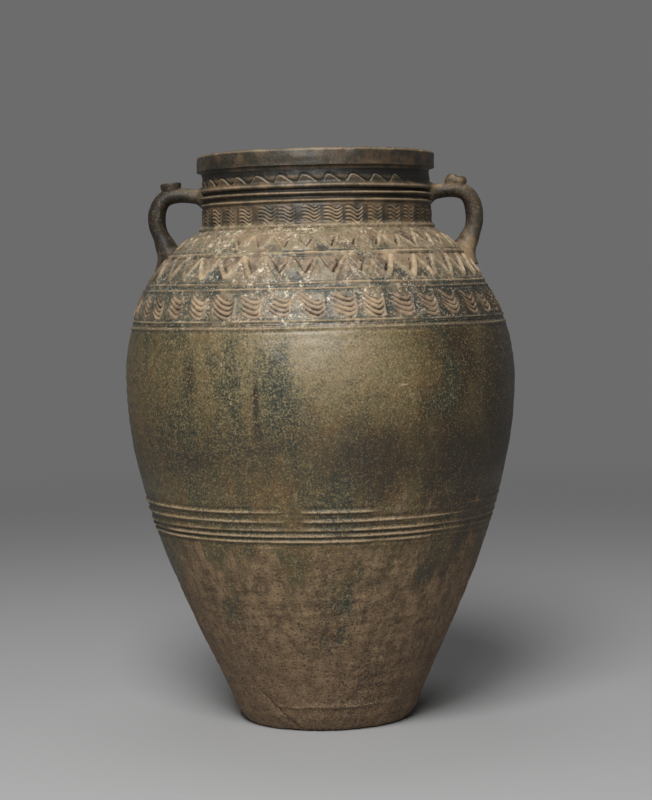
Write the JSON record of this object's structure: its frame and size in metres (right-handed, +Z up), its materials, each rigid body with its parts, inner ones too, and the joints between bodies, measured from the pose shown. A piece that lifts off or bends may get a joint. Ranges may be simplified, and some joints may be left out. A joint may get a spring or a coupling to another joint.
{
  "type": "earthenware storage jar",
  "caption": "Tall earthenware storage jar with a swelling body, carved shoulder, ridged neck, thick rim and loop handles at the sides, for keeping oil, grain or water.",
  "frame": {"origin": "centre of the flat foot, on the surface that the jar stands on", "axes": "+Z up along the jar's axis, the handles along +X and -X, the front of the jar towards -Y"},
  "size_m": [0.4164, 0.4164, 0.605],
  "materials": {
    "bare_clay": "matte, scraped",
    "thin_glaze": "matte, worn and pitted",
    "olive_glaze": "satin, mottled and streaked",
    "worn_glaze": "satin, rubbed on the carving",
    "dark_glaze": "satin",
    "handle_glaze": "satin, rubbed"
  },
  "bodies": {
    "root": {"base_disc": "bare_clay", "lower_wall": "thin_glaze", "belly_wall": "olive_glaze", "shoulder_wall": "worn_glaze", "neck_collar": "dark_glaze", "rim_ring": "dark_glaze", "left_handle": "handle_glaze", "right_handle": "handle_glaze", "left_handle_knob": "handle_glaze", "right_handle_knob": "handle_glaze"}
  },
  "joints": []
}
